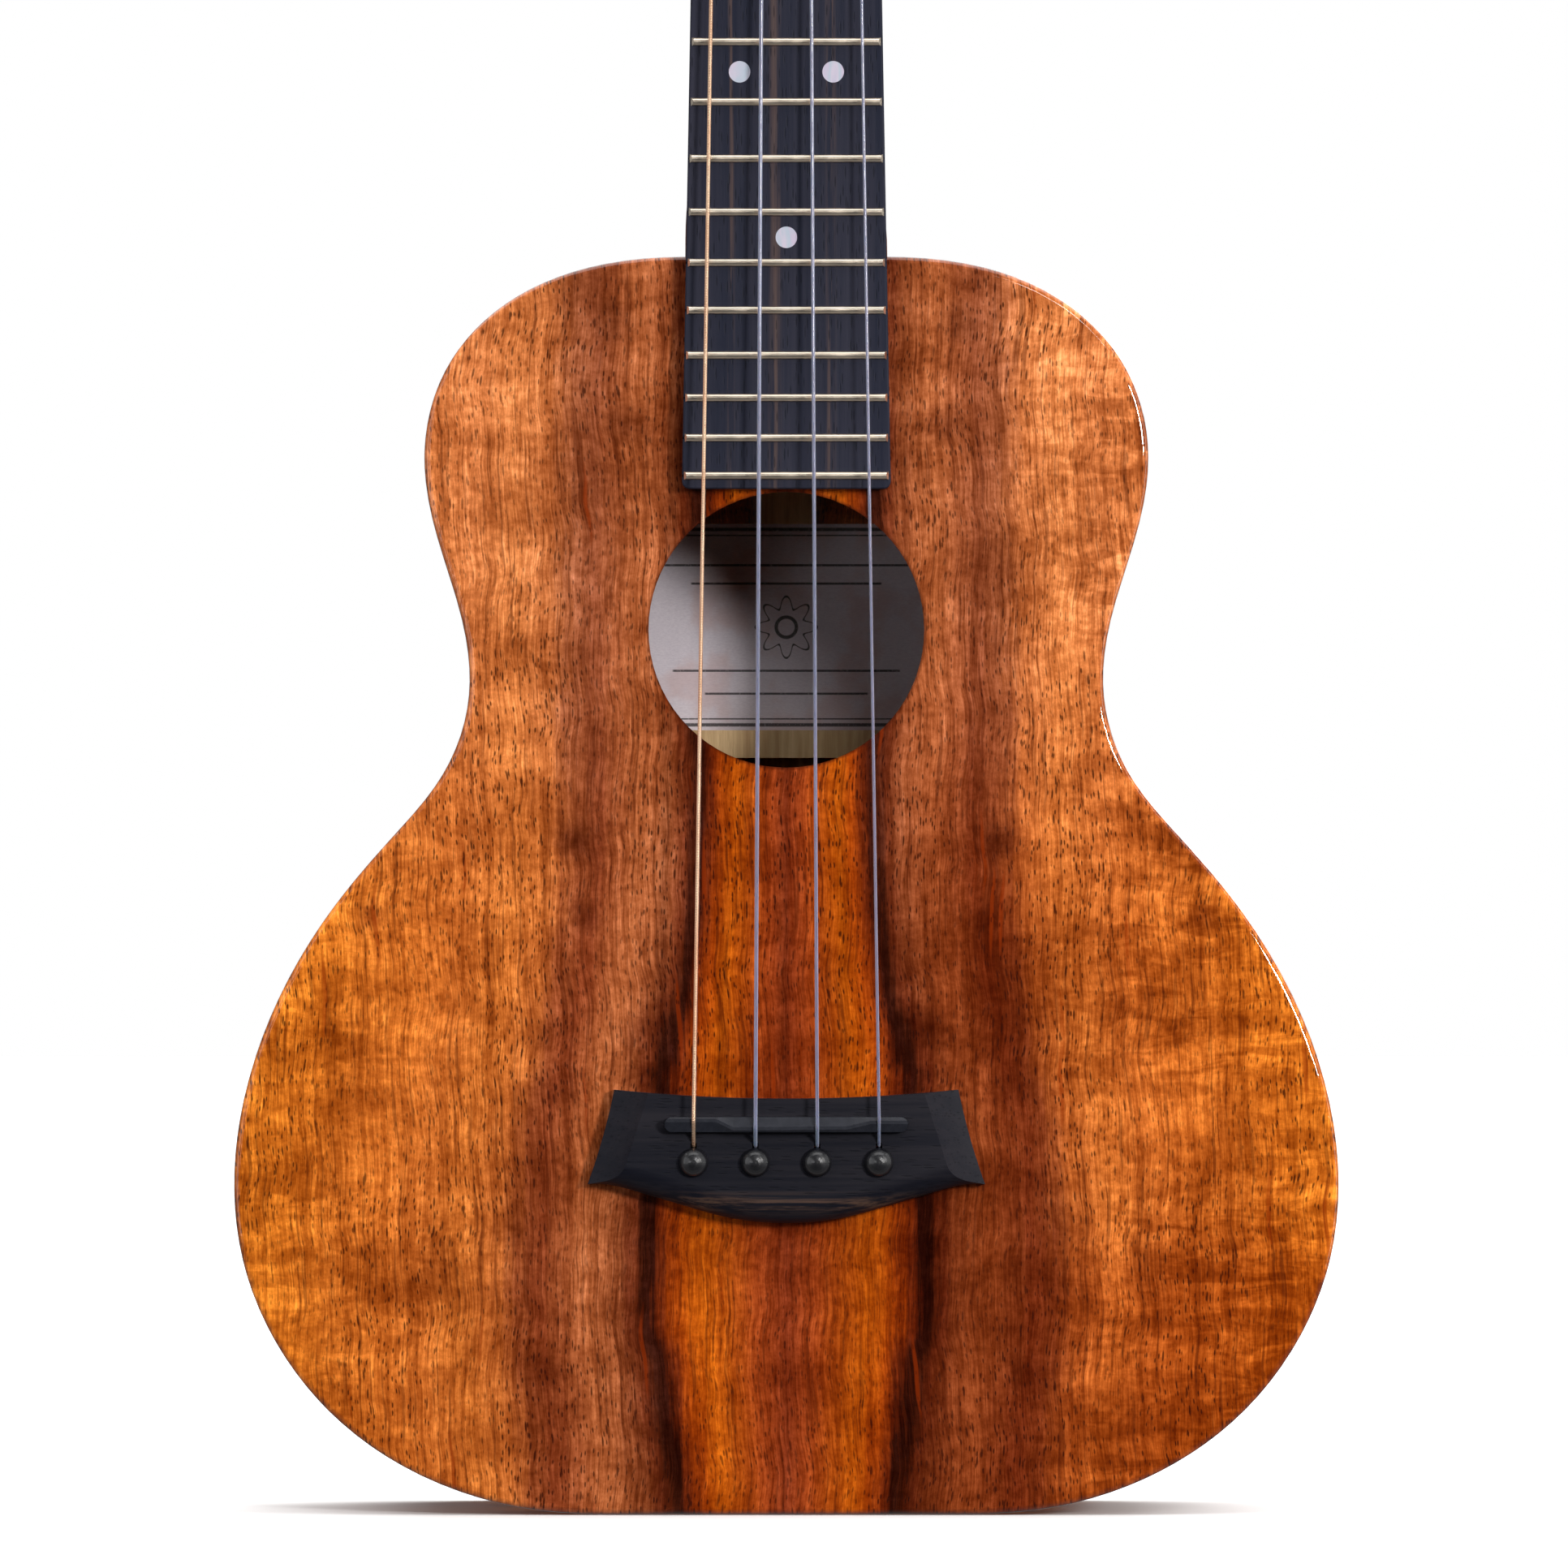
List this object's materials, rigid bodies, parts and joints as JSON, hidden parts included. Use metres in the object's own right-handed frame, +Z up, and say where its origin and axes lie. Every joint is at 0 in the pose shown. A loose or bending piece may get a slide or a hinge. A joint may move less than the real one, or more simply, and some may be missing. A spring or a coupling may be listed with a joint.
{
  "type": "ukulele",
  "caption": "Tenor ukulele with a koa soundbox, ebony fretboard and pin bridge, and geared tuners whose buttons turn the string posts.",
  "frame": {"origin": "centre of the flat tail face, midway between the front and the back at the tail", "axes": "+Z up the neck from tail to headstock, -Y out of the soundboard's face, +X to the treble side"},
  "size_m": [0.2364, 0.0882, 0.6701],
  "materials": {
    "koa": "gloss lacquer over figured koa",
    "mahogany": "satin lacquer",
    "spruce": "raw sanded",
    "maple": "raw sanded",
    "paper": "matte printed paper, blank",
    "ebony": "oiled satin",
    "fret_wire": "polished nickel silver",
    "pearl": "mother of pearl",
    "bone": "polished bone",
    "black_bone": "satin black",
    "pin_plastic": "polished black",
    "clear_string": "clear fluorocarbon",
    "wound_string": "copper wound",
    "nickel": "nickel plated",
    "brass": "machined",
    "button_plastic": "polished black"
  },
  "bodies": {
    "instrument": {"back_bass_half": "koa", "back_braces": "spruce", "back_centre_strip": "spruce", "back_linings": "spruce", "back_treble_half": "koa", "bridge": "ebony", "bridge_pin_1": "pin_plastic", "bridge_pin_2": "pin_plastic", "bridge_pin_3": "pin_plastic", "bridge_pin_4": "pin_plastic", "bridge_plate": "maple", "fan_braces": "spruce", "fret_markers": "pearl", "fretboard": "ebony", "frets": "fret_wire", "headplate": "koa", "heel_cap": "ebony", "label": "paper", "lower_soundhole_brace": "spruce", "neck": "mahogany", "neck_block": "mahogany", "nut": "bone", "post_bushings": "nickel", "saddle": "black_bone", "side_bass": "koa", "side_treble": "koa", "soundboard_bass_half": "koa", "soundboard_linings": "spruce", "soundboard_treble_half": "koa", "string_1": "clear_string", "string_2": "clear_string", "string_3": "clear_string", "string_4": "wound_string", "tail_block": "mahogany", "tuner_housing_1": "nickel", "tuner_housing_2": "nickel", "tuner_housing_3": "nickel", "tuner_housing_4": "nickel", "tuner_screws": "nickel", "upper_soundhole_brace": "spruce"},
    "post_1": {"string_post_1": "nickel", "worm_gear_1": "brass", "string_winding_1": "clear_string"},
    "button_1": {"tuner_shaft_1": "nickel", "tuner_button_1": "button_plastic"},
    "post_2": {"string_post_2": "nickel", "worm_gear_2": "brass", "string_winding_2": "clear_string"},
    "button_2": {"tuner_shaft_2": "nickel", "tuner_button_2": "button_plastic"},
    "post_3": {"string_post_3": "nickel", "worm_gear_3": "brass", "string_winding_3": "clear_string"},
    "button_3": {"tuner_shaft_3": "nickel", "tuner_button_3": "button_plastic"},
    "post_4": {"string_post_4": "nickel", "worm_gear_4": "brass", "string_winding_4": "wound_string"},
    "button_4": {"tuner_shaft_4": "nickel", "tuner_button_4": "button_plastic"}
  },
  "joints": [
    {"name": "button_turn_1", "type": "hinge", "parent": "instrument", "child": "button_1", "pos_m": [0.0185, -0.01269, 0.55224], "axis": [1, 0, 0], "continuous": true},
    {"name": "post_turn_1", "type": "hinge", "parent": "instrument", "child": "post_1", "pos_m": [0.0185, -0.029, 0.56247], "axis": [0, -0.9744, 0.225], "continuous": true},
    {"name": "button_turn_2", "type": "hinge", "parent": "instrument", "child": "button_2", "pos_m": [0.02, -0.00009, 0.60681], "axis": [1, 0, 0], "continuous": true},
    {"name": "post_turn_2", "type": "hinge", "parent": "instrument", "child": "post_2", "pos_m": [0.02, -0.0164, 0.61704], "axis": [0, -0.9744, 0.225], "continuous": true},
    {"name": "button_turn_3", "type": "hinge", "parent": "instrument", "child": "button_3", "pos_m": [-0.02, -0.00009, 0.60681], "axis": [-1, 0, 0], "continuous": true},
    {"name": "post_turn_3", "type": "hinge", "parent": "instrument", "child": "post_3", "pos_m": [-0.02, -0.0164, 0.61704], "axis": [0, -0.9744, 0.225], "continuous": true},
    {"name": "button_turn_4", "type": "hinge", "parent": "instrument", "child": "button_4", "pos_m": [-0.0185, -0.01269, 0.55224], "axis": [-1, 0, 0], "continuous": true},
    {"name": "post_turn_4", "type": "hinge", "parent": "instrument", "child": "post_4", "pos_m": [-0.0185, -0.029, 0.56247], "axis": [0, -0.9744, 0.225], "continuous": true}
  ],
  "couplings": [
    {"joint": "post_turn_1", "follows": "button_turn_1", "ratio": -0.071429},
    {"joint": "post_turn_2", "follows": "button_turn_2", "ratio": -0.071429},
    {"joint": "post_turn_3", "follows": "button_turn_3", "ratio": 0.071429},
    {"joint": "post_turn_4", "follows": "button_turn_4", "ratio": 0.071429}
  ]
}
